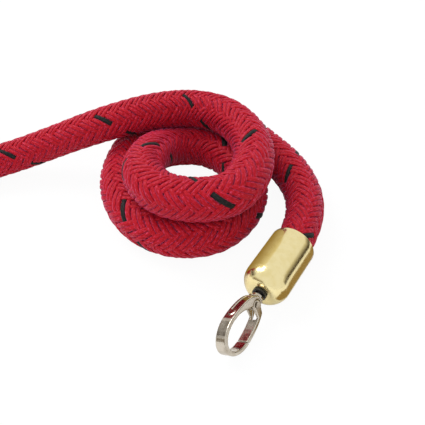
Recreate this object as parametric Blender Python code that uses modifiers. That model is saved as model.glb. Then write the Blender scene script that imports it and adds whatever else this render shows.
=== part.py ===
"""Braided barrier rope with a brass end cap and a swivel snap hook at each end.

Metres, +Z up. The floor is z = 0, and the origin lies on it midway between the two end fittings.

Each end fitting is made in its own frame. Its origin is the centre of the cap's mouth, and the fitting
points along -Y. A point of it is given as (side, along, height): along is the distance from the mouth.
"""

from math import cos, pi, radians, sin

import bmesh
import bpy
from mathutils import Matrix, Vector
from mathutils.geometry import interpolate_bezier

MM = 0.001
CLEARANCE = 0.3 * MM

# Rope
ROPE_DIAMETER = 34 * MM
ROPE_TUBE_POINTS = 78
ROPE_SIDES_RESOLUTION = 4

# End cap: a turned shell with a domed nose
ROPE_FIT = 0.5 * MM
CAP_WALL = 1.5 * MM
CAP_RADIUS = ROPE_DIAMETER / 2 + ROPE_FIT + CAP_WALL
CAP_LENGTH = 59 * MM
CAP_DOME_LENGTH = 14 * MM
CAP_NOSE_RADIUS = 7.5 * MM
ROPE_END_GAP = 1 * MM
ROPE_IN_CAP = CAP_LENGTH - CAP_DOME_LENGTH - ROPE_END_GAP
CAP_STEPS = 36
DOME_POINTS = 6

# Two set screws through the cap's wall hold the rope
SCREW_RADIUS = 2 * MM
SCREW_LENGTH = 4 * MM
SCREW_RECESS = 0.4 * MM
SCREW_ALONG = 30 * MM
SCREW_ANGLES = (215, 325)
SCREW_SOCKET_RADIUS = 1 * MM
SCREW_SOCKET_DEPTH = 1.5 * MM

# Swivel: the hook's shank turns in the cap's nose
SHANK_RADIUS = 3.2 * MM
SWIVEL_PLAY = 0.6 * MM
SHANK_HOLE_RADIUS = SHANK_RADIUS + SWIVEL_PLAY
SHANK_BEYOND_NUT = 1 * MM
SWIVEL_ALONG = CAP_LENGTH - CAP_WALL / 2
SWIVEL_DROOP = 6
OUTER_WASHER_RADIUS = 5.8 * MM
OUTER_WASHER_THICKNESS = 1.6 * MM
INNER_WASHER_RADIUS = 7.5 * MM
INNER_WASHER_THICKNESS = 1.2 * MM
NUT_RADIUS = 6.5 * MM
NUT_THICKNESS = 4 * MM
NUT_TILT_GAP = 1 * MM
COLLAR_RADIUS = 4.9 * MM
COLLAR_LENGTH = 2.6 * MM
COLLAR_TILT_GAP = 1.4 * MM

# Hook: a teardrop ring whose lower arm is the gate
BAND_WIDTH = 9.6 * MM
BASE_ALONG = CAP_LENGTH + OUTER_WASHER_THICKNESS + COLLAR_TILT_GAP + COLLAR_LENGTH + 2 * CLEARANCE
BASE_HALF = 3.8 * MM
BASE_RADIUS = 5 * MM
BASE_LENGTH = 1.4 * MM
RING_TIP = BASE_ALONG + 52.2 * MM
RING_HALF = 14 * MM
WIDEST_ALONG = RING_TIP - 20.4 * MM
ARM_THICKNESS = 3.3 * MM
BOW_THICKNESS = 3.9 * MM
CROTCH_ALONG = BASE_ALONG + 12.3 * MM
EDGE_BEVEL = 0.5 * MM
CURVE_POINTS = 12
RECESS_START = BASE_ALONG + 4.8 * MM
RECESS_END = RECESS_START + 18 * MM
RECESS_HALF_WIDTH = 2.6 * MM
RECESS_DEPTH = 0.7 * MM
PAD_ALONG = RECESS_END + 3 * MM
PAD_RADIUS = 2.6 * MM
PAD_RISE = 0.35 * MM

# Gate, its pin and its spring
PIN_ALONG = BASE_ALONG + 5.8 * MM
PIN_RADIUS = 1.5 * MM
PIN_HEAD_RADIUS = 2.6 * MM
PIN_HEAD_THICKNESS = 0.9 * MM
EAR_RADIUS = 4.2 * MM
TONGUE_HALF_WIDTH = 2.3 * MM
TONGUE_RADIUS = 3.8 * MM
GATE_SLOT_END = PIN_ALONG + 7 * MM
GATE_REACH = 29 * MM
SPRING_WIRE_RADIUS = 0.25 * MM
SPRING_MEAN_RADIUS = 2.25 * MM
SPRING_TURNS = 2.5
SPRING_PITCH = 0.56 * MM
SPRING_LEG_OVERLAP = 2 * MM
SPRING_POINTS_PER_TURN = 10

# Where each cap's mouth lies, and how far its hook is turned about the swivel
FITTINGS = {
    "a": (Vector((165 * MM, 131 * MM, CAP_RADIUS)), 28),
    "b": (Vector((-165 * MM, -14 * MM, CAP_RADIUS)), 0),
}

# The rope's way from cap b to cap a, in millimetres: over the coil's back, round on top of its lower
# turn, down inside it, and out along the floor.
ROPE_ROUTE = [
    (-165, -14, 19),
    (-163.5, 18, 18.5),
    (-152, 52, 18.5),
    (-134, 80, 19),
    (-109, 109, 24),
    (-82, 131, 35),
    (-58, 147, 46),
    (-34, 167, 54),
    (-9, 196, 56),
    (16, 219, 54),
    (46, 224, 54),
    (75, 211, 55),
    (98, 187, 56.5),
    (111, 156, 57),
    (110, 124, 57),
    (90, 104, 57),
    (60, 98, 56),
    (33, 112, 54),
    (18, 140, 47.5),
    (10, 168, 35.5),
    (13, 194, 24),
    (31, 211, 19),
    (57, 211, 18),
    (82, 198, 18),
    (101, 174, 18),
    (108, 144, 18),
    (100, 113, 18),
    (76, 94, 18),
    (46, 92, 18),
    (16, 105, 18),
    (-7, 128, 18),
    (-22, 158, 18),
    (-28, 189, 18),
    (-26, 220, 18),
    (-9, 245, 18),
    (21, 259, 18),
    (54, 254, 18),
    (87, 240, 18),
    (118, 223, 18),
    (143, 199, 18),
    (158, 170, 18.5),
    (165, 131, 19),
]

FINISHES = {
    "brass": ((0.83, 0.62, 0.22), 0.15, 1.0),
    "nickel": ((0.78, 0.75, 0.68), 0.18, 1.0),
    "steel": ((0.6, 0.6, 0.6), 0.35, 1.0),
    "black_plastic": ((0.02, 0.02, 0.02), 0.5, 0.0),
    "red_rope": ((0.55, 0.02, 0.04), 0.75, 0.0),
}


def clear_scene():
    for obj in list(bpy.data.objects):
        bpy.data.objects.remove(obj, do_unlink=True)


def new_collection(name):
    collection = bpy.data.collections.new(name)
    bpy.context.scene.collection.children.link(collection)
    return collection


def set_material(obj, finish):
    """Each piece has its own material."""
    colour, roughness, metallic = FINISHES[finish]
    material = bpy.data.materials.new(f"{obj.name}_{finish}")
    material.use_nodes = True
    shader = material.node_tree.nodes["Principled BSDF"]
    shader.inputs["Base Color"].default_value = (*colour, 1)
    shader.inputs["Roughness"].default_value = roughness
    shader.inputs["Metallic"].default_value = metallic
    obj.data.materials.append(material)


def add_object(name, data, parent=None, finish=None):
    obj = bpy.data.objects.new(name, data)
    (PARTS if finish else CUTTERS).objects.link(obj)
    obj.parent = parent
    if finish:
        set_material(obj, finish)
    else:
        obj.hide_render = True
        obj.display_type = "WIRE"
    return obj


def add_empty(name, parent, location, droop=0.0, roll=0.0):
    """An empty on a joint's axis. The roll is about the fitting's axis and comes before the droop."""
    empty = bpy.data.objects.new(name, None)
    PARTS.objects.link(empty)
    empty.parent = parent
    empty.rotation_mode = "YXZ"
    empty.location = location
    empty.rotation_euler = (radians(droop), radians(-roll), 0)
    return empty


def boolean(obj, cutter, operation="DIFFERENCE"):
    modifier = obj.modifiers.new(f"{operation.lower()}_{cutter.name}", "BOOLEAN")
    modifier.operation = operation
    modifier.solver = "EXACT"
    modifier.object = cutter


def mesh_of(name, fill):
    """A mesh made by the bmesh operations in fill."""
    shape = bmesh.new()
    fill(shape)
    bmesh.ops.recalc_face_normals(shape, faces=shape.faces)
    mesh = bpy.data.meshes.new(name)
    shape.to_mesh(mesh)
    shape.free()
    return mesh


def turned(name, profile, parent=None, finish=None, steps=24):
    """A turned piece about the fitting's axis, from (radius, along) points down its outer side."""
    mesh = bpy.data.meshes.new(name)
    points = [(radius, 0, -along) for radius, along in profile]
    count = len(points)
    closed = profile[0][0] > 0
    edges = [(i, i + 1) for i in range(count - 1)] + ([(count - 1, 0)] if closed else [])
    mesh.from_pydata(points, edges, [])
    obj = add_object(name, mesh, parent, finish)
    obj.rotation_euler.x = -pi / 2
    screw = obj.modifiers.new("turn", "SCREW")
    screw.steps = steps
    screw.render_steps = steps
    screw.use_merge_vertices = True
    screw.merge_threshold = 0.00001
    screw.use_smooth_shade = True
    return obj


def ring_profile(inner, outer, start, end):
    """The section of a washer between two radii and two distances along."""
    return [(outer, start), (outer, end), (inner, end), (inner, start)]


def cylinder(name, radius, length, centre, axis, parent=None, finish=None, sides=20):
    """A closed cylinder with its middle at centre and its length along axis."""
    turn = Vector((0, 0, 1)).rotation_difference(Vector(axis)).to_matrix().to_4x4()
    place = Matrix.Translation(centre) @ turn

    def fill(shape):
        bmesh.ops.create_cone(
            shape, cap_ends=True, segments=sides, radius1=radius, radius2=radius, depth=length, matrix=place
        )

    return add_object(name, mesh_of(name, fill), parent, finish)


def outline_curve(name, loops, half_width, origin_along):
    """A flat outline of (along, height) loops, filled and extruded to both sides, as a welded mesh."""
    curve = bpy.data.curves.new(name, "CURVE")
    curve.dimensions = "2D"
    curve.fill_mode = "BOTH"
    curve.extrude = half_width
    for loop in loops:
        spline = curve.splines.new("POLY")
        spline.points.add(len(loop) - 1)
        for point, (along, height) in zip(spline.points, loop):
            point.co = (along - origin_along, height, 0, 1)
        spline.use_cyclic_u = True
    flat = bpy.data.objects.new(name, curve)
    bpy.context.scene.collection.objects.link(flat)
    mesh = bpy.data.meshes.new_from_object(flat.evaluated_get(bpy.context.evaluated_depsgraph_get()))
    bpy.data.objects.remove(flat)
    shape = bmesh.new()
    shape.from_mesh(mesh)
    bmesh.ops.remove_doubles(shape, verts=shape.verts, dist=0.000001)
    bmesh.ops.dissolve_limit(shape, angle_limit=radians(0.5), verts=shape.verts, edges=shape.edges)
    # The curve's own axes are along, height and side.
    stand = Matrix(((0, 0, 1, 0), (-1, 0, 0, 0), (0, 1, 0, 0), (0, 0, 0, 1)))
    bmesh.ops.transform(shape, matrix=stand, verts=shape.verts)
    bmesh.ops.recalc_face_normals(shape, faces=shape.faces)
    shape.to_mesh(mesh)
    shape.free()
    return mesh


def box_mesh(name, low, high):
    """A box between two corners."""
    size = [high[i] - low[i] for i in range(3)]
    middle = [(high[i] + low[i]) / 2 for i in range(3)]
    place = Matrix.Translation(middle) @ Matrix.Diagonal((*size, 1))
    return mesh_of(name, lambda shape: bmesh.ops.create_cube(shape, size=1, matrix=place))


def bezier(start, start_handle, end_handle, end, count=CURVE_POINTS):
    points = [Vector((*point, 0)) for point in (start, start_handle, end_handle, end)]
    return [(point.x, point.y) for point in interpolate_bezier(*points, count)]


def arc(centre, radius, start, end, count=9):
    """Points on an arc about (along, height), between two angles in degrees."""
    angles = [radians(start + (end - start) * i / (count - 1)) for i in range(count)]
    return [(centre[0] + radius * cos(angle), centre[1] + radius * sin(angle)) for angle in angles]


def upper_side(inset):
    """The ring's upper half at an inset from its outside, from base or crotch to tip, as (along, height)."""
    half = RING_HALF - inset
    if inset == 0:
        start = (BASE_ALONG, BASE_HALF)
        lead = (BASE_ALONG + 4 * MM, BASE_HALF + 7.5 * MM)
        tip = RING_TIP
    else:
        start = (CROTCH_ALONG, 0)
        lead = (CROTCH_ALONG + 0.5 * MM, 4.9 * MM)
        tip = RING_TIP - BOW_THICKNESS
    reach = 12 * MM
    tip_reach = 11 * MM - inset / 3
    round_off = 7.6 * MM - inset / 2
    shoulder = bezier(start, lead, (WIDEST_ALONG - reach, half), (WIDEST_ALONG, half))
    bow = bezier((WIDEST_ALONG, half), (WIDEST_ALONG + tip_reach, half), (tip, round_off), (tip, 0))
    return shoulder + bow[1:]


def whole_loop(side):
    """A closed loop from its upper side, mirrored below the axis."""
    mirrored = [(along, -height) for along, height in reversed(side) if height > 0]
    return side + mirrored


def height_at(side, along):
    """The height of a side at a distance along, between its nearest points."""
    for (a, low), (b, high) in zip(side, side[1:]):
        if a <= along <= b:
            return low + (high - low) * (along - a) / (b - a)
    raise ValueError(f"{along} is off the side")


def gate_outline():
    """The gate from the side: a round lobe at the pin, then the ring's lower arm as far as its reach."""
    pin = (PIN_ALONG, 0)
    outer = upper_side(0)
    inner = [(along, height - ARM_THICKNESS) for along, height in outer]

    def within(points):
        near = [p for p in points if (p[0] - pin[0]) ** 2 + p[1] ** 2 < GATE_REACH**2]
        return [(along, -height) for along, height in near]

    lobe = arc(pin, EAR_RADIUS, 20, 225, 13)
    lower = [p for p in within(outer) if p[0] > PIN_ALONG - 2 * MM]
    upper = [p for p in within(inner) if p[0] > PIN_ALONG + EAR_RADIUS]
    return lobe + lower + end_points(outer) + list(reversed(upper))


def end_points(outer):
    """Where the gate's end arc meets the arm's outer and inner sides."""
    inner = [(along, height - ARM_THICKNESS) for along, height in outer]
    return [crossing(side) for side in (outer, inner)]


def crossing(side):
    """The point of a lower side that lies at the gate's reach from its pin."""
    for (a, low), (b, high) in zip(side, side[1:]):
        for part in range(50):
            along = a + (b - a) * part / 50
            height = low + (high - low) * part / 50
            if along > WIDEST_ALONG - 8 * MM and (along - PIN_ALONG) ** 2 + height**2 >= GATE_REACH**2:
                return (along, -height)
    raise ValueError("the gate's reach is beyond the ring")


def hook_body(end, swivel):
    """The cast ring with its nose, tongue and shank, without the arm that the gate replaces."""
    name = f"hook_body_{end}"
    half = BAND_WIDTH / 2
    loops = [whole_loop(upper_side(0)), whole_loop(upper_side(ARM_THICKNESS))]
    body = add_object(name, outline_curve(name, loops, half, SWIVEL_ALONG), swivel, "nickel")
    bevel = body.modifiers.new("edges", "BEVEL")
    bevel.width = EDGE_BEVEL
    bevel.segments = 1
    bevel.limit_method = "ANGLE"
    bevel.angle_limit = radians(50)

    pin = (PIN_ALONG, 0)
    room_reach = GATE_REACH + CLEARANCE
    room = [pin, (PIN_ALONG + 8.2 * MM, 5.2 * MM)]
    room += arc(pin, room_reach, -15, -75, 13)
    room += [(BASE_ALONG - 1 * MM, -25 * MM), (BASE_ALONG - 1 * MM, -4.4 * MM)]
    cut_flat(body, f"gate_room_{end}", room, BAND_WIDTH, swivel)
    disc = arc(pin, EAR_RADIUS + CLEARANCE, 0, 345, 24)
    cut_flat(body, f"ear_room_{end}", disc, BAND_WIDTH, swivel)

    tongue = [(BASE_ALONG + BASE_LENGTH / 2, -TONGUE_RADIUS)]
    tongue += arc(pin, TONGUE_RADIUS, -90, 20, 9)
    tongue += [(CROTCH_ALONG, 5 * MM), (CROTCH_ALONG, 7 * MM), (BASE_ALONG + BASE_LENGTH / 2, 7 * MM)]
    mesh = outline_curve(f"tongue_{end}", [tongue], TONGUE_HALF_WIDTH / 2, SWIVEL_ALONG)
    mesh.transform(Matrix.Translation((-TONGUE_HALF_WIDTH / 2, 0, 0)))
    boolean(body, add_object(f"tongue_{end}", mesh, swivel), "UNION")

    shank_end = nut_face_along() - NUT_THICKNESS - SHANK_BEYOND_NUT
    shank = [(0, shank_end - SWIVEL_ALONG), (SHANK_RADIUS, shank_end - SWIVEL_ALONG)]
    shank += [(SHANK_RADIUS, BASE_ALONG - SWIVEL_ALONG), (BASE_RADIUS, BASE_ALONG - SWIVEL_ALONG)]
    base_end = BASE_ALONG + BASE_LENGTH - SWIVEL_ALONG
    shank += [(BASE_RADIUS, base_end), (0, base_end)]
    boolean(body, turned(f"shank_{end}", shank, swivel), "UNION")

    pin_hole = cylinder(
        f"tongue_hole_{end}", PIN_RADIUS + CLEARANCE, BAND_WIDTH, pin_place(), (1, 0, 0), swivel
    )
    boolean(body, pin_hole)
    cut_recess(body, end, swivel)
    return body


def nut_face_along():
    """How far along the nut's outer face lies, behind the inner washer."""
    return CAP_LENGTH - CAP_WALL - CLEARANCE - INNER_WASHER_THICKNESS - NUT_TILT_GAP


def pin_place():
    return Vector((0, SWIVEL_ALONG - PIN_ALONG, 0))


def cut_flat(obj, name, loop, width, parent):
    """Cuts a flat outline right through a piece."""
    boolean(obj, add_object(name, outline_curve(name, [loop], width, SWIVEL_ALONG), parent))


def cut_recess(body, end, swivel):
    """A long shallow recess along the spine's outer face, with a round pad beyond its end."""
    outer = upper_side(0)
    stretch = [point for point in outer if RECESS_START < point[0] < RECESS_END]
    stretch = [(RECESS_START, height_at(outer, RECESS_START)), *stretch]
    stretch.append((RECESS_END, height_at(outer, RECESS_END)))
    floor = [(along, height - RECESS_DEPTH) for along, height in stretch]
    above = [(along, height + 3 * MM) for along, height in reversed(stretch)]
    name = f"recess_{end}"
    mesh = outline_curve(name, [floor + above], RECESS_HALF_WIDTH, SWIVEL_ALONG)
    boolean(body, add_object(name, mesh, swivel))
    top = height_at(outer, PAD_ALONG)
    place = Vector((0, SWIVEL_ALONG - PAD_ALONG, top + PAD_RISE - 1 * MM))
    slope = height_at(outer, PAD_ALONG + 1 * MM) - height_at(outer, PAD_ALONG - 1 * MM)
    up = (0, slope / (2 * MM), 1)
    pad = cylinder(f"pad_{end}", PAD_RADIUS, 2 * MM, place, up, swivel)
    boolean(body, pad, "UNION")


def gate(end, swivel):
    """The sprung lower arm, forked over the body's tongue."""
    pivot = add_empty(f"gate_pivot_{end}", swivel, pin_place())
    name = f"gate_{end}"
    mesh = outline_curve(name, [gate_outline()], BAND_WIDTH / 2, PIN_ALONG)
    arm = add_object(name, mesh, pivot, "nickel")
    bevel = arm.modifiers.new("edges", "BEVEL")
    bevel.width = EDGE_BEVEL
    bevel.segments = 1
    bevel.limit_method = "ANGLE"
    bevel.angle_limit = radians(60)
    slot = TONGUE_HALF_WIDTH + CLEARANCE
    far = 20 * MM
    corner = PIN_ALONG - GATE_SLOT_END
    boolean(arm, add_object(f"slot_{end}", box_mesh("slot", (-slot, corner, -far), (slot, far, far)), pivot))
    hole = cylinder(
        f"gate_hole_{end}", PIN_RADIUS + CLEARANCE, 2 * BAND_WIDTH, (0, 0, 0), (1, 0, 0), pivot
    )
    boolean(arm, hole)
    return arm


def gate_pin(end, swivel):
    """A rivet through the gate's ears and the tongue, with a head on each side."""
    neck = BAND_WIDTH / 2 + CLEARANCE
    tip = neck + PIN_HEAD_THICKNESS
    # The shaft ends inside the heads, so that they join at any width.
    pin = cylinder(f"gate_pin_{end}", PIN_RADIUS, neck + tip, pin_place(), (1, 0, 0), swivel, "nickel")
    for side in (-1, 1):
        place = pin_place() + Vector((side * (neck + tip) / 2, 0, 0))
        length = PIN_HEAD_THICKNESS
        head = cylinder(f"pin_head_{end}_{side}", PIN_HEAD_RADIUS, length, place, (1, 0, 0), swivel)
        boolean(pin, head, "UNION")
    return pin


def gate_spring(end, swivel):
    """A torsion spring round the pin beside the tongue, one leg up to the spine and one out to the gate."""
    turns = int(SPRING_TURNS * SPRING_POINTS_PER_TURN)
    first = CLEARANCE + SPRING_WIRE_RADIUS
    start_angle = radians(-40)
    points = []
    for i in range(turns + 1):
        angle = start_angle + 2 * pi * i / SPRING_POINTS_PER_TURN
        side = first + SPRING_PITCH * i / SPRING_POINTS_PER_TURN
        points.append((side, SPRING_MEAN_RADIUS * cos(angle), SPRING_MEAN_RADIUS * sin(angle)))
    leg_along = GATE_SLOT_END + SPRING_LEG_OVERLAP
    web_top = ARM_THICKNESS - height_at(upper_side(0), leg_along)
    gate_leg = (first, leg_along - PIN_ALONG, web_top + SPRING_WIRE_RADIUS + 2 * CLEARANCE)
    last = points[-1][0]
    body_leg = (last, -1.3 * MM, 3.6 * MM)
    points = [gate_leg, *points, body_leg]
    curve = bpy.data.curves.new(f"gate_spring_{end}", "CURVE")
    curve.dimensions = "3D"
    curve.bevel_depth = SPRING_WIRE_RADIUS
    curve.bevel_resolution = 1
    curve.use_fill_caps = True
    spline = curve.splines.new("POLY")
    spline.points.add(len(points) - 1)
    for point, (side, along, height) in zip(spline.points, points):
        point.co = (side, -along, height, 1)
    spring = add_object(f"gate_spring_{end}", curve, swivel, "steel")
    spring.location = pin_place()
    return spring


def end_cap(end, fitting):
    """A brass shell, open at the mouth and pierced at the nose for the shank."""
    inner = CAP_RADIUS - CAP_WALL
    straight = CAP_LENGTH - CAP_DOME_LENGTH
    rim = 0.4 * MM

    def dome(radius, nose_radius, length):
        angles = [pi / 2 * i / DOME_POINTS for i in range(DOME_POINTS + 1)]
        wide = radius - nose_radius
        return [(nose_radius + wide * cos(angle), straight + length * sin(angle)) for angle in angles]

    outer_side = [(CAP_RADIUS - rim, 0), (CAP_RADIUS, rim)]
    outer_side += dome(CAP_RADIUS, CAP_NOSE_RADIUS, CAP_DOME_LENGTH)
    inner_side = dome(inner, CAP_NOSE_RADIUS, CAP_DOME_LENGTH - CAP_WALL)
    profile = outer_side + [(SHANK_HOLE_RADIUS, CAP_LENGTH), (SHANK_HOLE_RADIUS, CAP_LENGTH - CAP_WALL)]
    profile += list(reversed(inner_side)) + [(inner, rim), (inner + rim, 0)]
    cap = turned(f"end_cap_{end}", profile, fitting, "brass", CAP_STEPS)
    for number, angle in enumerate(SCREW_ANGLES, 1):
        hole = screw_cylinder(f"screw_hole_{end}_{number}", angle, SCREW_RADIUS + CLEARANCE, 3, 10, fitting)
        boolean(cap, hole)
    return cap


def screw_cylinder(name, angle, radius, above, below, parent, finish=None):
    """A cylinder on a set screw's axis, from above to below the cap's outside, in millimetres."""
    outward = Vector((cos(radians(angle)), 0, sin(radians(angle))))
    middle = CAP_RADIUS + (above - below) * MM / 2
    centre = outward * middle + Vector((0, -SCREW_ALONG, 0))
    return cylinder(name, radius, (above + below) * MM, centre, outward, parent, finish, 16)


def set_screws(end, fitting):
    """Socket set screws that bite into the rope through the cap's wall."""
    top = SCREW_RECESS / MM
    bottom = top + SCREW_LENGTH / MM
    for number, angle in enumerate(SCREW_ANGLES, 1):
        name = f"set_screw_{end}_{number}"
        screw = screw_cylinder(name, angle, SCREW_RADIUS, -top, bottom, fitting, "steel")
        outward = Vector((cos(radians(angle)), 0, sin(radians(angle))))
        centre = outward * (CAP_RADIUS - SCREW_RECESS) + Vector((0, -SCREW_ALONG, 0))
        length = 2 * SCREW_SOCKET_DEPTH
        socket = cylinder(
            f"socket_{end}_{number}", SCREW_SOCKET_RADIUS, length, centre, outward, fitting, sides=6
        )
        boolean(screw, socket)
        depth = bottom + CLEARANCE / MM
        dent = screw_cylinder(f"dent_{end}_{number}", angle, SCREW_RADIUS + CLEARANCE, 3, depth, fitting)
        DENTS.append(dent)


def washers(end, fitting):
    start = CAP_LENGTH + CLEARANCE
    outer = ring_profile(SHANK_HOLE_RADIUS, OUTER_WASHER_RADIUS, start, start + OUTER_WASHER_THICKNESS)
    turned(f"outer_washer_{end}", outer, fitting, "black_plastic")
    finish = CAP_LENGTH - CAP_WALL - CLEARANCE
    inner = ring_profile(SHANK_HOLE_RADIUS, INNER_WASHER_RADIUS, finish - INNER_WASHER_THICKNESS, finish)
    turned(f"inner_washer_{end}", inner, fitting, "steel")


def swivel_rings(end, swivel):
    """The nut inside the cap and the collar outside it, both square to the shank."""
    bore = SHANK_RADIUS + CLEARANCE
    nut_face = nut_face_along() - SWIVEL_ALONG
    nut = ring_profile(bore, NUT_RADIUS, nut_face - NUT_THICKNESS, nut_face)
    turned(f"swivel_nut_{end}", nut, swivel, "steel", 18)
    end_face = BASE_ALONG - CLEARANCE - SWIVEL_ALONG
    soft = 0.5 * MM
    start_face = end_face - COLLAR_LENGTH
    collar = [(COLLAR_RADIUS - soft, start_face), (COLLAR_RADIUS, start_face + soft)]
    collar += [(COLLAR_RADIUS, end_face - soft), (COLLAR_RADIUS - soft, end_face)]
    collar += [(bore, end_face), (bore, start_face)]
    turned(f"collar_{end}", collar, swivel, "nickel")


def end_fitting(end):
    mouth, roll = FITTINGS[end]
    fitting = add_empty(f"fitting_{end}", None, mouth)
    swivel = add_empty(f"swivel_{end}", fitting, (0, -SWIVEL_ALONG, 0), SWIVEL_DROOP, roll)
    end_cap(end, fitting)
    set_screws(end, fitting)
    washers(end, fitting)
    swivel_rings(end, swivel)
    hook_body(end, swivel)
    gate(end, swivel)
    gate_pin(end, swivel)
    gate_spring(end, swivel)


def smooth_route(route, per_stretch=16):
    """A centripetal Catmull-Rom curve through the route's points."""
    points = [Vector(point) for point in route]
    points = [2 * points[0] - points[1], *points, 2 * points[-1] - points[-2]]
    curve = []
    for p0, p1, p2, p3 in zip(points, points[1:], points[2:], points[3:]):
        t1 = (p1 - p0).length ** 0.5
        t2 = t1 + (p2 - p1).length ** 0.5
        t3 = t2 + (p3 - p2).length ** 0.5
        for i in range(per_stretch):
            t = t1 + (t2 - t1) * i / per_stretch
            a1 = p0.lerp(p1, t / t1)
            a2 = p1.lerp(p2, (t - t1) / (t2 - t1))
            a3 = p2.lerp(p3, (t - t2) / (t3 - t2))
            b1 = a1.lerp(a2, t / t2)
            b2 = a2.lerp(a3, (t - t1) / (t3 - t1))
            curve.append(b1.lerp(b2, (t - t1) / (t2 - t1)))
    return [*curve, points[-2]]


def evenly_spaced(curve, count):
    """The curve's points read again at equal distances along it."""
    lengths = [0.0]
    for a, b in zip(curve, curve[1:]):
        lengths.append(lengths[-1] + (b - a).length)
    result = []
    index = 0
    for i in range(count):
        want = lengths[-1] * i / (count - 1)
        while index < len(curve) - 2 and lengths[index + 1] < want:
            index += 1
        part = (want - lengths[index]) / (lengths[index + 1] - lengths[index])
        result.append(curve[index].lerp(curve[index + 1], part))
    return result


def rope():
    """The rope as a plain tube, with its ends straight inside the caps and dented by the set screws."""
    curve = bpy.data.curves.new("rope", "CURVE")
    curve.dimensions = "3D"
    curve.bevel_depth = ROPE_DIAMETER / 2
    curve.bevel_resolution = ROPE_SIDES_RESOLUTION
    curve.use_fill_caps = True
    inward = Vector((0, -ROPE_IN_CAP, 0))
    route = [FITTINGS["b"][0] + inward, FITTINGS["b"][0] + inward / 2]
    route += [Vector(point) * MM for point in ROPE_ROUTE]
    route += [FITTINGS["a"][0] + inward / 2, FITTINGS["a"][0] + inward]
    points = evenly_spaced(smooth_route(route), ROPE_TUBE_POINTS)
    spline = curve.splines.new("POLY")
    spline.points.add(len(points) - 1)
    for point, place in zip(spline.points, points):
        point.co = (*place, 1)
    tube = bpy.data.objects.new("rope_curve", curve)
    bpy.context.scene.collection.objects.link(tube)
    mesh = bpy.data.meshes.new_from_object(tube.evaluated_get(bpy.context.evaluated_depsgraph_get()))
    shape = bmesh.new()
    shape.from_mesh(mesh)
    bmesh.ops.remove_doubles(shape, verts=shape.verts, dist=0.000001)
    shape.to_mesh(mesh)
    shape.free()
    whole = add_object("rope", mesh, None, "red_rope")
    whole.matrix_world = tube.matrix_world.copy()
    bpy.data.objects.remove(tube)
    for dent in DENTS:
        boolean(whole, dent)


def shade_round_pieces():
    for obj in PARTS.objects:
        if obj.type == "MESH":
            obj.data.shade_smooth()
            obj.data.set_sharp_from_angle(angle=radians(35))


clear_scene()
PARTS = new_collection("barrier_rope")
CUTTERS = new_collection("cutters")
DENTS = []
for end_name in FITTINGS:
    end_fitting(end_name)
rope()
shade_round_pieces()
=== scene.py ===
"""Looks of the barrier rope: a red braid with a black tracer yarn, brass end caps and nickel snap hooks.

Metres, +Z up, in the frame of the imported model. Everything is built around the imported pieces.
"""

from math import cos, pi, radians, sin, tanh

import bmesh
import bpy
import numpy as np
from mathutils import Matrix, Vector


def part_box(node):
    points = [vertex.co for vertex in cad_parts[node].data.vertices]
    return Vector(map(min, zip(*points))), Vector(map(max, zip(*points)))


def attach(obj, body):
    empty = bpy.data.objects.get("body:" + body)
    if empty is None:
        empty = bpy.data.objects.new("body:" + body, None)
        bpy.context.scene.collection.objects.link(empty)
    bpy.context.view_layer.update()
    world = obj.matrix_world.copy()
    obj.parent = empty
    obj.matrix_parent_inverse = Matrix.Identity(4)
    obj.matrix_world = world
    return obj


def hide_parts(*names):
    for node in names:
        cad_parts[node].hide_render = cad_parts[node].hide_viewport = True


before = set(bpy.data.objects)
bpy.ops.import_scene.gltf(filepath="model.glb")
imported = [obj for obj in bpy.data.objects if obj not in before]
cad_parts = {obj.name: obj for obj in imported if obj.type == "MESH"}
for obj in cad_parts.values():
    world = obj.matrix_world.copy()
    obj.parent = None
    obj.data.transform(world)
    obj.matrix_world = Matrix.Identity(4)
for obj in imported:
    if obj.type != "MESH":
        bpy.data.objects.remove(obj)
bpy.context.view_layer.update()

MM = 0.001
SEED = 7

# The rope's route, as in the model: cap b to cap a, in millimetres
ROPE_IN_CAP = 44 * MM
ROPE_ROUTE = [
    (-165, -14, 19),
    (-163.5, 18, 18.5),
    (-152, 52, 18.5),
    (-134, 80, 19),
    (-109, 109, 24),
    (-82, 131, 35),
    (-58, 147, 46),
    (-34, 167, 54),
    (-9, 196, 56),
    (16, 219, 54),
    (46, 224, 54),
    (75, 211, 55),
    (98, 187, 56.5),
    (111, 156, 57),
    (110, 124, 57),
    (90, 104, 57),
    (60, 98, 56),
    (33, 112, 54),
    (18, 140, 47.5),
    (10, 168, 35.5),
    (13, 194, 24),
    (31, 211, 19),
    (57, 211, 18),
    (82, 198, 18),
    (101, 174, 18),
    (108, 144, 18),
    (100, 113, 18),
    (76, 94, 18),
    (46, 92, 18),
    (16, 105, 18),
    (-7, 128, 18),
    (-22, 158, 18),
    (-28, 189, 18),
    (-26, 220, 18),
    (-9, 245, 18),
    (21, 259, 18),
    (54, 254, 18),
    (87, 240, 18),
    (118, 223, 18),
    (143, 199, 18),
    (158, 170, 18.5),
    (165, 131, 19),
]
# The soft rope's diameter along its length, as (distance along, diameter) in millimetres
ROPE_DIAMETERS = [
    (0, 31),
    (60, 31),
    (230, 31),
    (330, 35.5),
    (500, 37),
    (1180, 37),
    (1300, 35),
    (1385, 31.6),
    (1430, 31.6),
]

# The braid: carriers each way, two yarns on each, over two and under two
CARRIERS = 8
YARNS_ON_CARRIER = 2
# A place is where a strand one way crosses one the other way. Along a strand, the next is this far round
PLACE_DEGREES = 360 / (2 * CARRIERS)
PLACES_IN_QUARTER_TURN = 4
HALF_PLACE_IN_TURNS = 0.5 / PLACES_IN_QUARTER_TURN
# How far round the rope the braid has got, as (distance along in millimetres, quarter turns)
BRAID_TURNS = [
    (0, -11),
    (273, 0),
    (350, 4),
    (453, 8),
    (531, 11),
    (632, 16),
    (838, 23),
    (926, 27),
    (1062, 32),
    (1262, 40),
    (1371, 44),
    (1430, 46),
]
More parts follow.
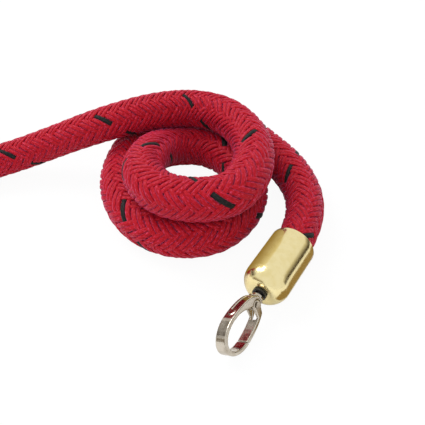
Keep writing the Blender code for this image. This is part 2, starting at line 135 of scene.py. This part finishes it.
# How far the rope itself is twisted, as (distance along in millimetres, degrees), and how far its corners
# are rounded off in millimetres
ROPE_TWIST = [
    (0, 44),
    (273, 44),
    (350, 36),
    (453, 16),
    (531, 36),
    (632, 24),
    (838, 38),
    (935, 2),
    (1262, -16),
    (1371, -4),
    (1430, -4),
]
TWIST_ROUNDING = 40
# Stations on a yarn for each quarter turn that it makes
YARN_STEPS = 10
# A yarn's thickness, and how far a strand rises and dips where it crosses, as shares of the rope's diameter
YARN_THICKNESS = 0.05
BRAID_RISE = 0.023
# How abruptly a strand goes from over to under: a small number is a plain wave, and a large one a step
WAVE_FLATNESS = 1.7
# A pair's distance, a yarn's half width and its unevenness, as shares of the distance between strands
YARN_APART = 0.47
YARN_HALF_WIDTH = 0.248
YARN_SWAY = 0.012
BRAID_IN_CAP = 16 * MM
CORE_SIDES = 32
CORE_STEP = 4 * MM

# The rope's material slots, and how far apart two yarns' streaks lie in their noise
RED_SLOT, BLACK_SLOT, CORE_SLOT = range(3)
STREAK_OFFSET = 7.31
# Noise on a yarn, as scales (along per millimetre, round it, 1): fine filaments, and a slower fading
FILAMENT_SCALE = (0.35, 10, 1)
FADING_SCALE = (0.45, 4, 1)
FADING_SHARE = 0.35
# A yarn's colours: dark, body and light, then its sheen's tint and weight. They vary at random along the
# filaments, and the light one, pink on the red yarn, is partly a painted glint of sheen
RED_YARN = ((0.25, 0.001, 0.005), (0.39, 0.003, 0.011), (0.60, 0.06, 0.14), (1.0, 0.25, 0.65), 0.32)
BLACK_YARN = ((0.004, 0.004, 0.004), (0.010, 0.010, 0.010), (0.035, 0.032, 0.030), (0.7, 0.7, 0.7), 0.1)
# Metals: colour, colour of the blotches, least and most roughness, and the scratches' scale on each axis
BRASS = ((0.81, 0.70, 0.38), (0.77, 0.65, 0.32), (0.15, 0.21), (3000, 120, 3000))
NICKEL = ((0.56, 0.51, 0.43), (0.40, 0.35, 0.28), (0.13, 0.22), (400, 400, 400))
STEEL = ((0.56, 0.55, 0.53), (0.42, 0.41, 0.40), (0.25, 0.4), (900, 900, 900))

# The cap's sizes that its box doesn't give, as in the model
CAP_WALL = 1.5 * MM
CAP_DOME_LENGTH = 14 * MM
CAP_NOSE_RADIUS = 7.5 * MM
SHANK_HOLE_RADIUS = 3.8 * MM
# The rounding of the cap's mouth, and where its middle point lies as a share of that
CAP_RIM = 0.5 * MM
CAP_RIM_MIDDLE = 0.3
# How finely the cap is turned
DOME_POINTS = 20
SIDE_STEPS = 8
CAP_STEPS = 128
SHARP_DEGREES = 40
# How the castings are softened: size of the new mesh's cells, and rounds and share of smoothing
CASTING_VOXEL = 0.3 * MM
CASTING_SMOOTHING = 12
CASTING_SHARE = 0.5

# The floor's size and height in metres, and how white it is in itself, to the camera and in reflections
FLOOR_WIDTH = 8
FLOOR_HEIGHT = -0.3 * MM
FLOOR_GREY = 0.9
FLOOR_WHITE_SHOWN = 0.94
FLOOR_WHITE_MIRRORED = 0.1
# Glowing cards that only reflections show: painted reflections on the metal, dark below and light above.
# As (name, middle, looks towards, width, height, lower and upper colour), in millimetres
CARDS = [
    ("painted_reflection_right", (430, 330, 75), (170, 90, 20), 420, 150, (0.05, 0.03, 0.01), (0.85, 0.80, 0.66)),
    ("painted_reflection_front", (-90, -330, 90), (165, 70, 20), 420, 160, (0.26, 0.21, 0.15), (0.80, 0.76, 0.68)),
    ("painted_reflection_left", (-420, 0, 200), (165, 40, 20), 500, 260, (0.08, 0.06, 0.05), (0.70, 0.68, 0.65)),
    # A golden card between cap a and the coil: a painted golden reflection on the cap, in place of the red
    # rope's.
    ("painted_cap_reflection", (136, 117, 38), (165, 117, 38), 66, 76, (0.34, 0.22, 0.05), (0.92, 0.83, 0.58)),
    # A brown card lying on the floor beside cap a: a painted reflection of the floor's shadow next to the
    # cap.
    ("painted_shadow_reflection", (218, 135, 1), (218, 135, 100), 62, 150, (0.36, 0.25, 0.10), (0.36, 0.25, 0.10)),
]
# How far up a card its lower colour reaches, as a share of its height
CARD_FADE_FROM = 0.3
WORLD_STRENGTH = 0.74
# Lamps, as (name, place, target and size in metres, watts, whether metal mirrors it)
LAMPS = [
    ("key", (-0.95, 0.25, 1.3), (0.05, 0.15, 0), 0.8, 17, True),
    ("fill", (0.5, -0.9, 1.4), (0.08, 0.15, 0), 1.2, 8, False),
]
# The camera's target and distance in metres, its angles in degrees, and its lens and sensor in millimetres
CAMERA_TARGET = (0.077, 0.152, 0)
CAMERA_DISTANCE = 0.604
CAMERA_AROUND = 30
CAMERA_DOWN = 42
CAMERA_LENS = 56.24
CAMERA_SENSOR = 36
CAMERA_NEAREST = 0.01


def add_object(name, data):
    """A new object in the scene."""
    made = bpy.data.objects.new(name, data)
    bpy.context.scene.collection.objects.link(made)
    return made


def material(name):
    """A new material with a plain Principled shader, as (material, nodes, links, shader)."""
    made = bpy.data.materials.new(name)
    made.use_nodes = True
    nodes = made.node_tree.nodes
    return made, nodes, made.node_tree.links, nodes["Principled BSDF"]


def node(nodes, kind, **inputs):
    """A node of a kind, with values for its inputs by name."""
    made = nodes.new(kind)
    for name, value in inputs.items():
        made.inputs[name.replace("_", " ")].default_value = value
    return made


def ramp(nodes, stops):
    """A colour ramp from (position, colour) stops."""
    made = nodes.new("ShaderNodeValToRGB")
    elements = made.color_ramp.elements
    elements[0].position, elements[0].color = stops[0][0], (*stops[0][1], 1)
    elements[1].position, elements[1].color = stops[-1][0], (*stops[-1][1], 1)
    for position, colour in stops[1:-1]:
        element = elements.new(position)
        element.color = (*colour, 1)
    return made


def stretched_noise(nodes, links, coordinates, scale, **settings):
    """Noise with its own scale on each axis."""
    stretch = nodes.new("ShaderNodeMapping")
    stretch.inputs["Scale"].default_value = scale
    links.new(coordinates, stretch.inputs["Vector"])
    noise = node(nodes, "ShaderNodeTexNoise", Scale=1.0, **settings)
    links.new(stretch.outputs["Vector"], noise.inputs["Vector"])
    return noise.outputs["Fac"]


def colour_from(nodes, links, shader, factor, stops):
    """Colours the shader by a factor, through a ramp's stops."""
    colour = ramp(nodes, stops)
    links.new(factor, colour.inputs["Fac"])
    links.new(colour.outputs["Color"], shader.inputs["Base Color"])


def roughness_from(nodes, links, shader, factor, start, end):
    """Gives the shader a roughness that goes from start to end as the noise rises."""
    rough = node(nodes, "ShaderNodeMapRange", From_Min=0.3, From_Max=0.7, To_Min=start, To_Max=end)
    links.new(factor, rough.inputs["Value"])
    links.new(rough.outputs["Result"], shader.inputs["Roughness"])


def bump_from(nodes, links, shader, height, strength, distance):
    """Gives the shader a bump from a height between 0 and 1."""
    bump = node(nodes, "ShaderNodeBump", Strength=strength, Distance=distance)
    links.new(height, bump.inputs["Height"])
    links.new(bump.outputs["Normal"], shader.inputs["Normal"])


# ---------------------------------------------------------------- rope


def smooth_route(route, per_stretch=24):
    """A centripetal Catmull-Rom curve through the route's points, the same as the model's."""
    points = [Vector(point) for point in route]
    points = [2 * points[0] - points[1], *points, 2 * points[-1] - points[-2]]
    curve = []
    for p0, p1, p2, p3 in zip(points, points[1:], points[2:], points[3:]):
        t1 = (p1 - p0).length ** 0.5
        t2 = t1 + (p2 - p1).length ** 0.5
        t3 = t2 + (p3 - p2).length ** 0.5
        for i in range(per_stretch):
            t = t1 + (t2 - t1) * i / per_stretch
            a1 = p0.lerp(p1, t / t1)
            a2 = p1.lerp(p2, (t - t1) / (t2 - t1))
            a3 = p2.lerp(p3, (t - t2) / (t3 - t2))
            b1 = a1.lerp(a2, t / t2)
            b2 = a2.lerp(a3, (t - t1) / (t3 - t1))
            curve.append(b1.lerp(b2, (t - t1) / (t2 - t1)))
    return [*curve, points[-2]]


class Route:
    """The rope's centreline read every millimetre, with a frame that doesn't twist."""

    def __init__(self, points):
        curve = np.array([tuple(point) for point in smooth_route(points)])
        lengths = np.r_[0, np.cumsum(np.linalg.norm(np.diff(curve, axis=0), axis=1))]
        self.length = lengths[-1]
        self.along = np.linspace(0, self.length, int(self.length / MM) + 1)
        self.centre = np.stack([np.interp(self.along, lengths, curve[:, k]) for k in range(3)], 1)
        self.centre = self.settle(self.centre)
        tangent = np.gradient(self.centre, axis=0)
        self.tangent = tangent / np.linalg.norm(tangent, axis=1)[:, None]
        self.up = self.carry_up()
        self.side = np.cross(self.tangent, self.up)

    def settle(self, centre, reach=8):
        """Rounds off the small steps that the straight pieces between samples leave."""
        window = np.hanning(2 * reach + 1)
        window /= window.sum()
        padded = np.pad(centre, ((reach, reach), (0, 0)), mode="reflect", reflect_type="odd")
        return np.stack([np.convolve(padded[:, k], window, "valid") for k in range(3)], 1)

    def carry_up(self):
        """A direction across the rope at each point. It starts as up and doesn't twist on its way."""
        up = np.zeros_like(self.centre)
        now = np.array([0.0, 0.0, 1.0])
        for i, tangent in enumerate(self.tangent):
            now = now - tangent * (now @ tangent)
            now /= np.linalg.norm(now)
            up[i] = now
        return up

    def at(self, along):
        """(centre, up, side) at distances along, as arrays."""
        return [
            np.stack([np.interp(along, self.along, table[:, k]) for k in range(3)], -1)
            for table in (self.centre, self.up, self.side)
        ]

    def place(self, along, angle, radius):
        """Points on the rope at a distance along, an angle round from the top and a radius."""
        centre, up, side = self.at(along)
        across = np.cos(angle)[..., None] * up + np.sin(angle)[..., None] * side
        out = centre + radius[..., None] * across
        out[..., 2] = rest_on_floor(out[..., 2])
        return out


def rest_on_floor(height, soft=3 * MM, lowest=0.1 * MM):
    """Heights near the floor, pressed flat so that none goes below it."""
    spare = soft - lowest
    pressed = soft - spare * (1 - np.exp(-np.maximum(soft - height, 0) / spare))
    return np.where(height < soft, pressed, height)


def smooth_table(table, reach=25):
    """Reads (distance, value) pairs in millimetres, with their corners rounded off.

    It returns a function of the distance in metres, and the distances in metres and values that it reads.
    """
    fine = np.arange(table[0][0] - 3 * reach, table[-1][0] + 3 * reach, 1.0)
    xs = [row[0] for row in table]
    ys = [row[1] for row in table]
    values = np.interp(fine, xs, ys)
    start = (ys[1] - ys[0]) / (xs[1] - xs[0])
    end = (ys[-1] - ys[-2]) / (xs[-1] - xs[-2])
    values = np.where(fine < xs[0], ys[0] + start * (fine - xs[0]), values)
    values = np.where(fine > xs[-1], ys[-1] + end * (fine - xs[-1]), values)
    window = np.hanning(2 * reach + 1)
    window /= window.sum()
    padded = np.pad(values, reach, mode="edge")
    values = np.convolve(padded, window, "valid")
    return lambda along: np.interp(along / MM, fine, values), fine * MM, values


class Braid:
    """The braid's own lattice. A strand one way keeps its number p, and one the other way its number q."""

    def __init__(self, route):
        self.route = route
        self.turns, self.fine, self.values = smooth_table(BRAID_TURNS)
        self.twist = smooth_table(ROPE_TWIST, TWIST_ROUNDING)[0]
        self.diameter = smooth_table(ROPE_DIAMETERS)[0]

    def surface(self, p, q, rise):
        """Points at lattice places p and q. The rise from the braid's middle is a share of the diameter."""
        turns = (q - p) / PLACES_IN_QUARTER_TURN + HALF_PLACE_IN_TURNS
        along = np.interp(turns, self.values, self.fine)
        angle = np.radians(PLACE_DEGREES * (p + q) + PLACE_DEGREES / 2 + self.twist(along))
        diameter = self.diameter(along) * MM
        middle = 0.5 - BRAID_RISE - YARN_THICKNESS / 2
        return self.route.place(along, angle, diameter * (middle + rise))

    def wave(self, number, crossing):
        """From 1 where a strand lies over the others to -1 where it lies under them."""
        x = np.cos(pi / 2 * (number + crossing + 0.5))
        return np.tanh(WAVE_FLATNESS * x) / tanh(WAVE_FLATNESS)


def yarn_section(side):
    """A yarn's section as (across, height) in shares of its half width and thickness, from edge to edge.

    It is lower on the outer side of its pair, so that two yarns read as one flat strand.
    """
    section = [(-1.0, -0.4), (-0.66, 0.28), (0.0, 0.46), (0.66, 0.36), (1.0, 0.0)]
    return section if side == 0 else [(-across, height) for across, height in reversed(section)]


def braid_yarn(braid, number, side, mirrored, rng, low, high):
    """One yarn's points, as (stations, section, 3)."""
    first = PLACES_IN_QUARTER_TURN * (braid.turns(low) - HALF_PLACE_IN_TURNS)
    last = PLACES_IN_QUARTER_TURN * (braid.turns(high) - HALF_PLACE_IN_TURNS)
    step = PLACES_IN_QUARTER_TURN / YARN_STEPS
    count = int((last - first) / step)
    if mirrored:
        # On this side q is the strand's own number, and p counts down as it runs along.
        run = number - first - step * np.arange(count)
    else:
        run = number + first + step * np.arange(count)
    section = np.array(yarn_section(side))
    offset = YARN_APART * (side - 0.5)
    knots = np.arange(0, count + 2 * YARN_STEPS, YARN_STEPS)
    sway = np.interp(np.arange(count), knots, rng.normal(0, YARN_SWAY, len(knots)))
    across = offset + section[:, 0][None, :] * YARN_HALF_WIDTH + sway[:, None]
    own = number + across
    crossing = run[:, None] + np.zeros_like(across)
    wave = braid.wave(number, crossing)
    over = -wave if mirrored else wave
    rise = over * BRAID_RISE + section[:, 1][None, :] * YARN_THICKNESS
    return braid.surface(crossing, own, rise) if mirrored else braid.surface(own, crossing, rise)


def mesh_from_rings(name, strands):
    """One mesh of closed tubes. Each strand is (points as rings, material slot, streak offset)."""
    vertices = []
    faces = []
    slots = []
    ends = []
    coordinates = []
    base = 0
    for points, slot, streak in strands:
        count, sides, _ = points.shape
        vertices.append(points.reshape(-1, 3))
        ring = np.arange(sides)
        after = (ring + 1) % sides
        start = base + np.arange(count - 1)[:, None] * sides
        quads = np.stack([start + ring, start + after, start + sides + after, start + sides + ring], -1)
        faces.append(quads.reshape(-1, 4))
        slots.append(np.full(len(faces[-1]), slot))
        steps = np.linalg.norm(np.diff(points.mean(1), axis=0), axis=1)
        run = np.r_[0, np.cumsum(steps)] / MM
        u0 = np.repeat(run[:-1, None], sides, 1)
        u1 = np.repeat(run[1:, None], sides, 1)
        v0 = np.repeat((ring / sides)[None, :], count - 1, 0)
        v1 = v0 + 1 / sides
        corners = ((u0, v0), (u0, v1), (u1, v1), (u1, v0))
        uv = np.stack([np.stack([u, v + streak], -1) for u, v in corners], 2)
        coordinates.append(uv.reshape(-1, 2))
        next_base = base + count * sides
        ends.append((list(range(base + sides - 1, base - 1, -1)), slot))
        ends.append((list(range(next_base - sides, next_base)), slot))
        base = next_base
    mesh = bpy.data.meshes.new(name)
    all_faces = np.concatenate(faces).tolist() + [end[0] for end in ends]
    mesh.from_pydata(np.concatenate(vertices).tolist(), [], all_faces)
    all_slots = np.r_[np.concatenate(slots), [end[1] for end in ends]]
    mesh.polygons.foreach_set("material_index", all_slots.astype(np.int32))
    layer = mesh.uv_layers.new(name="yarn")
    flat = np.concatenate(coordinates)
    loops = np.zeros((len(mesh.loops), 2), np.float32)
    loops[: len(flat)] = flat
    layer.data.foreach_set("uv", loops.ravel())
    mesh.update()
    return mesh


def yarn_material(name, dark, body, light, sheen_tint, sheen):
    """A bundle of fine shiny filaments that run along the yarn. Its colour varies at random between dark,
    body and light, and the light tone is partly a painted glint of sheen.
    """
    made, nodes, links, shader = material(name)
    place = nodes.new("ShaderNodeUVMap")
    place.uv_map = "yarn"
    streaks = stretched_noise(nodes, links, place.outputs["UV"], FILAMENT_SCALE, Detail=3.0, Roughness=0.6)
    fading = stretched_noise(nodes, links, place.outputs["UV"], FADING_SCALE, Detail=2.0, Roughness=0.5)
    mix = nodes.new("ShaderNodeMix")
    mix.data_type = "FLOAT"
    mix.inputs["Factor"].default_value = FADING_SHARE
    links.new(streaks, mix.inputs["A"])
    links.new(fading, mix.inputs["B"])
    # The light tone at the top of the noise is partly a painted glint of sheen; the others are tone that
    # differs at random.
    stops = [(0.38, dark), (0.49, body), (0.54, body), (0.66, light)]
    colour_from(nodes, links, shader, mix.outputs["Result"], stops)
    roughness_from(nodes, links, shader, streaks, 0.62, 0.46)
    bump_from(nodes, links, shader, streaks, strength=1.0, distance=0.35 * MM)
    shader.inputs["Sheen Weight"].default_value = sheen
    shader.inputs["Sheen Roughness"].default_value = 0.35
    shader.inputs["Sheen Tint"].default_value = (*sheen_tint, 1)
    shader.inputs["Specular IOR Level"].default_value = 0.13
    return made


def core_material():
    """The rope's inner cover, which only shows as a dark line between strands."""
    made, nodes, links, shader = material("rope_core")
    weave = node(nodes, "ShaderNodeTexNoise", Scale=900.0, Detail=2.0)
    stops = [(0.35, (0.28, 0.002, 0.009)), (0.65, (0.36, 0.004, 0.013))]
    colour_from(nodes, links, shader, weave.outputs["Fac"], stops)
    shader.inputs["Roughness"].default_value = 0.9
    return made


def make_rope():
    """The rope: a dark core and a braid of yarns in one mesh."""
    mouth_a = Vector(ROPE_ROUTE[-1]) * MM
    mouth_b = Vector(ROPE_ROUTE[0]) * MM
    inward = Vector((0, -ROPE_IN_CAP, 0))
    points = [mouth_b + inward, mouth_b + inward / 2]
    points += [Vector(point) * MM for point in ROPE_ROUTE]
    points += [mouth_a + inward / 2, mouth_a + inward]
    route = Route(points)
    braid = Braid(route)
    rng = np.random.default_rng(SEED)
    low = ROPE_IN_CAP - BRAID_IN_CAP
    high = route.length - ROPE_IN_CAP + BRAID_IN_CAP
    strands = []
    for mirrored in (False, True):
        for number in range(CARRIERS):
            for side in range(YARNS_ON_CARRIER):
                yarn = braid_yarn(braid, number, side, mirrored, rng, low, high)
                if not mirrored:
                    yarn = yarn[:, ::-1]
                tracer = not mirrored and number == 0 and side == 0
                strands.append((yarn, BLACK_SLOT if tracer else RED_SLOT, STREAK_OFFSET * len(strands)))
    along = np.arange(low - CORE_STEP, high + CORE_STEP, CORE_STEP)
    angle = np.linspace(0, 2 * pi, CORE_SIDES, endpoint=False)
    radius = braid.diameter(along) * MM * (0.5 - 2 * BRAID_RISE - YARN_THICKNESS)
    core = route.place(
        np.repeat(along[:, None], CORE_SIDES, 1),
        np.repeat(angle[None], len(along), 0),
        np.repeat(radius[:, None], CORE_SIDES, 1),
    )
    strands.append((core, CORE_SLOT, 0))
    mesh = mesh_from_rings("rope_braid", strands)
    rope = add_object("rope_braid", mesh)
    mesh.materials.append(yarn_material("rope_red_yarn", *RED_YARN))
    mesh.materials.append(yarn_material("rope_black_yarn", *BLACK_YARN))
    mesh.materials.append(core_material())
    mesh.shade_smooth()
    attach(rope, "rope_and_caps")
    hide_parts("rope")


# ---------------------------------------------------------------- metal, washers and screws


def metal_material(name, colour, tint, roughness, scratches):
    """Polished cast or spun metal: faint blotches in its shine, and fine hairline scratches."""
    made, nodes, links, shader = material(name)
    place = nodes.new("ShaderNodeTexCoord")
    blotch = node(nodes, "ShaderNodeTexNoise", Scale=160.0, Detail=3.0)
    links.new(place.outputs["Object"], blotch.inputs["Vector"])
    colour_from(nodes, links, shader, blotch.outputs["Fac"], [(0.3, tint), (0.6, colour)])
    roughness_from(nodes, links, shader, blotch.outputs["Fac"], *roughness)
    fine = stretched_noise(nodes, links, place.outputs["Object"], scratches, Detail=4.0)
    bump_from(nodes, links, shader, fine, strength=0.025, distance=0.05 * MM)
    shader.inputs["Metallic"].default_value = 1.0
    return made


def black_plastic():
    """Moulded black plastic with a fine grain."""
    made, nodes, links, shader = material("washer_plastic")
    grain = node(nodes, "ShaderNodeTexNoise", Scale=1500.0, Detail=2.0)
    stops = [(0.3, (0.006, 0.006, 0.006)), (0.7, (0.016, 0.016, 0.016))]
    colour_from(nodes, links, shader, grain.outputs["Fac"], stops)
    bump_from(nodes, links, shader, grain.outputs["Fac"], strength=0.2, distance=0.05 * MM)
    shader.inputs["Roughness"].default_value = 0.42
    return made


def smooth_casting(name, body, finish):
    """A softly rounded copy of a cast piece, in place of the model's plain one."""
    mesh = bpy.data.objects[name].data.copy()
    piece = add_object(f"{name}_cast", mesh)
    mesh.materials.clear()
    mesh.materials.append(finish)
    remesh = piece.modifiers.new("skin", "REMESH")
    remesh.mode = "VOXEL"
    remesh.voxel_size = CASTING_VOXEL
    remesh.use_smooth_shade = True
    soften = piece.modifiers.new("soften", "SMOOTH")
    soften.factor = CASTING_SHARE
    soften.iterations = CASTING_SMOOTHING
    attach(piece, body)
    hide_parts(name)


def cap_profile(radius, length):
    """The turned shell's outline as (radius, distance from the mouth), along the outside and back inside."""
    straight = length - CAP_DOME_LENGTH
    inner = radius - CAP_WALL

    def dome(wide, reach):
        turns = [pi / 2 * i / DOME_POINTS for i in range(DOME_POINTS + 1)]
        return [
            (CAP_NOSE_RADIUS + (wide - CAP_NOSE_RADIUS) * cos(turn), straight + reach * sin(turn))
            for turn in turns
        ]

    middle = CAP_RIM * CAP_RIM_MIDDLE
    profile = [(radius - CAP_RIM, 0), (radius - middle, middle), (radius, CAP_RIM)]
    profile += [(radius, straight * i / SIDE_STEPS) for i in range(1, SIDE_STEPS)]
    profile += dome(radius, CAP_DOME_LENGTH)
    profile += [(SHANK_HOLE_RADIUS, length), (SHANK_HOLE_RADIUS, length - CAP_WALL)]
    profile += reversed(dome(inner, CAP_DOME_LENGTH - CAP_WALL))
    profile += [(inner, CAP_RIM), (inner + CAP_RIM, 0)]
    return profile


def spun_cap(end, finish):
    """The cap's shell, turned finely. Unlike the model's, it has no holes for the set screws."""
    low, high = (Vector(corner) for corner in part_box(f"end_cap_{end}"))
    middle = (low + high) / 2
    profile = cap_profile((high.x - low.x) / 2, high.y - low.y)
    shape = bmesh.new()
    rings = []
    for i in range(CAP_STEPS):
        turn = 2 * pi * i / CAP_STEPS
        rings.append([shape.verts.new((r * cos(turn), -along, r * sin(turn))) for r, along in profile])
    count = len(profile)
    for here, after in zip(rings, rings[1:] + rings[:1]):
        for j in range(count):
            shape.faces.new((here[j], here[(j + 1) % count], after[(j + 1) % count], after[j]))
    bmesh.ops.recalc_face_normals(shape, faces=shape.faces)
    mesh = bpy.data.meshes.new(f"spun_cap_{end}")
    shape.to_mesh(mesh)
    shape.free()
    cap = add_object(f"spun_cap_{end}", mesh)
    cap.location = (middle.x, high.y, middle.z)
    mesh.materials.append(finish)
    mesh.shade_smooth()
    mesh.set_sharp_from_angle(angle=radians(SHARP_DEGREES))
    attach(cap, "rope_and_caps")
    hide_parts(f"end_cap_{end}")


def finish_node(name, finish):
    """Gives one of the model's own pieces its detailed material."""
    data = bpy.data.objects[name].data
    data.materials.clear()
    data.materials.append(finish)


def make_fittings():
    """Both ends' caps and hooks, and the looks of their small pieces."""
    brass = metal_material("polished_brass", *BRASS)
    nickel = metal_material("polished_nickel", *NICKEL)
    steel = metal_material("steel", *STEEL)
    plastic = black_plastic()
    for end in "ab":
        spun_cap(end, brass)
        smooth_casting(f"hook_body_{end}", f"hook_{end}", nickel)
        smooth_casting(f"gate_{end}", f"gate_{end}", nickel)
        for name in (f"collar_{end}", f"gate_pin_{end}"):
            finish_node(name, nickel)
        for name in (f"swivel_nut_{end}", f"inner_washer_{end}", f"gate_spring_{end}"):
            finish_node(name, steel)
        for name in (f"set_screw_{end}_1", f"set_screw_{end}_2"):
            finish_node(name, steel)
        finish_node(f"outer_washer_{end}", plastic)


# ---------------------------------------------------------------- stage


def sheet(name, width, height):
    """A flat sheet that faces up."""
    shape = bmesh.new()
    bmesh.ops.create_grid(shape, x_segments=1, y_segments=1, size=0.5)
    bmesh.ops.scale(shape, vec=(width, height, 1), verts=shape.verts)
    mesh = bpy.data.meshes.new(name)
    shape.to_mesh(mesh)
    shape.free()
    return add_object(name, mesh)


def either(nodes, links, first, second):
    """1 where either kind of ray sees the surface."""
    seen = nodes.new("ShaderNodeMath")
    seen.operation = "MAXIMUM"
    links.new(first, seen.inputs[0])
    links.new(second, seen.inputs[1])
    return seen.outputs[0]


def mix_shaders(nodes, links, factor, first, second, output):
    """Shows the first shader where the factor is 0 and the second where it is 1."""
    mix = nodes.new("ShaderNodeMixShader")
    links.new(factor, mix.inputs[0])
    links.new(first, mix.inputs[1])
    links.new(second, mix.inputs[2])
    links.new(mix.outputs[0], nodes[output].inputs["Surface"])


def make_stage():
    """A plain white floor that keeps a faint shadow. Reflections see mostly its lit colour."""
    floor = sheet("floor", FLOOR_WIDTH, FLOOR_WIDTH)
    floor.location.z = FLOOR_HEIGHT
    made, nodes, links, shader = material("floor")
    shader.inputs["Base Color"].default_value = (FLOOR_GREY, FLOOR_GREY, FLOOR_GREY, 1)
    shader.inputs["Roughness"].default_value = 0.9
    shader.inputs["Specular IOR Level"].default_value = 0.0
    glow = node(nodes, "ShaderNodeEmission", Color=(1, 1, 1, 1), Strength=1.0)
    ray = nodes.new("ShaderNodeLightPath")
    direct = either(nodes, links, ray.outputs["Is Camera Ray"], ray.outputs["Is Transmission Ray"])
    shown = nodes.new("ShaderNodeMath")
    shown.operation = "MULTIPLY"
    shown.inputs[1].default_value = FLOOR_WHITE_SHOWN
    links.new(direct, shown.inputs[0])
    white = nodes.new("ShaderNodeMath")
    white.operation = "MULTIPLY_ADD"
    white.inputs[1].default_value = FLOOR_WHITE_MIRRORED
    links.new(ray.outputs["Is Glossy Ray"], white.inputs[0])
    links.new(shown.outputs[0], white.inputs[2])
    mix_shaders(nodes, links, white.outputs[0], shader.outputs[0], glow.outputs[0], "Material Output")
    floor.data.materials.append(made)


def make_cards():
    """Dark and golden glowing cards beside the object, which only reflections see: painted reflections on
    its metal.
    """
    for name, middle, towards, width, height, lower, upper in CARDS:
        card = sheet(name, width * MM, height * MM)
        place = Vector(middle) * MM
        card.location = place
        card.rotation_euler = (Vector(towards) * MM - place).to_track_quat("Z", "Y").to_euler()
        card.visible_camera = False
        card.visible_diffuse = False
        card.visible_transmission = False
        card.visible_shadow = False
        made, nodes, links, _ = material(name)
        glow = node(nodes, "ShaderNodeEmission", Strength=1.0)
        spot = nodes.new("ShaderNodeTexCoord")
        split = nodes.new("ShaderNodeSeparateXYZ")
        links.new(spot.outputs["Generated"], split.inputs[0])
        shade = ramp(nodes, [(CARD_FADE_FROM, lower), (1.0, upper)])
        links.new(split.outputs["Y"], shade.inputs["Fac"])
        links.new(shade.outputs["Color"], glow.inputs["Color"])
        links.new(glow.outputs[0], nodes["Material Output"].inputs["Surface"])
        card.data.materials.append(made)


def make_world():
    """Soft even light. The camera and reflections see it as white."""
    world = bpy.data.worlds.new("studio")
    bpy.context.scene.world = world
    world.use_nodes = True
    nodes = world.node_tree.nodes
    links = world.node_tree.links
    soft = nodes["Background"]
    soft.inputs["Color"].default_value = (1, 1, 1, 1)
    soft.inputs["Strength"].default_value = WORLD_STRENGTH
    white = node(nodes, "ShaderNodeBackground", Color=(1, 1, 1, 1))
    ray = nodes.new("ShaderNodeLightPath")
    direct = either(nodes, links, ray.outputs["Is Camera Ray"], ray.outputs["Is Transmission Ray"])
    seen = either(nodes, links, direct, ray.outputs["Is Glossy Ray"])
    mix_shaders(nodes, links, seen, soft.outputs[0], white.outputs[0], "World Output")


def make_lights():
    """Two soft lamps. Metal mirrors only the first."""
    for name, place, target, size, watts, mirrored in LAMPS:
        light = bpy.data.lights.new(name, "AREA")
        light.shape = "RECTANGLE"
        light.size = light.size_y = size
        light.energy = watts
        lamp = add_object(name, light)
        lamp.location = place
        lamp.rotation_euler = (Vector(target) - Vector(place)).to_track_quat("-Z", "Y").to_euler()
        lamp.visible_glossy = mirrored


def make_camera():
    """The camera looks 30 degrees round from the front and 42 degrees down, as in the photo."""
    lens = bpy.data.cameras.new("camera")
    lens.sensor_width = CAMERA_SENSOR
    lens.lens = CAMERA_LENS
    lens.clip_start = CAMERA_NEAREST
    camera = add_object("camera", lens)
    around, down = radians(CAMERA_AROUND), radians(CAMERA_DOWN)
    back = Vector((sin(around) * cos(down), -cos(around) * cos(down), sin(down)))
    camera.location = Vector(CAMERA_TARGET) + back * CAMERA_DISTANCE
    camera.rotation_euler = (-back).to_track_quat("-Z", "Y").to_euler()
    bpy.context.scene.camera = camera


make_camera()
make_rope()
make_fittings()
make_stage()
make_cards()
make_world()
make_lights()
bpy.context.scene.view_settings.view_transform = "Standard"
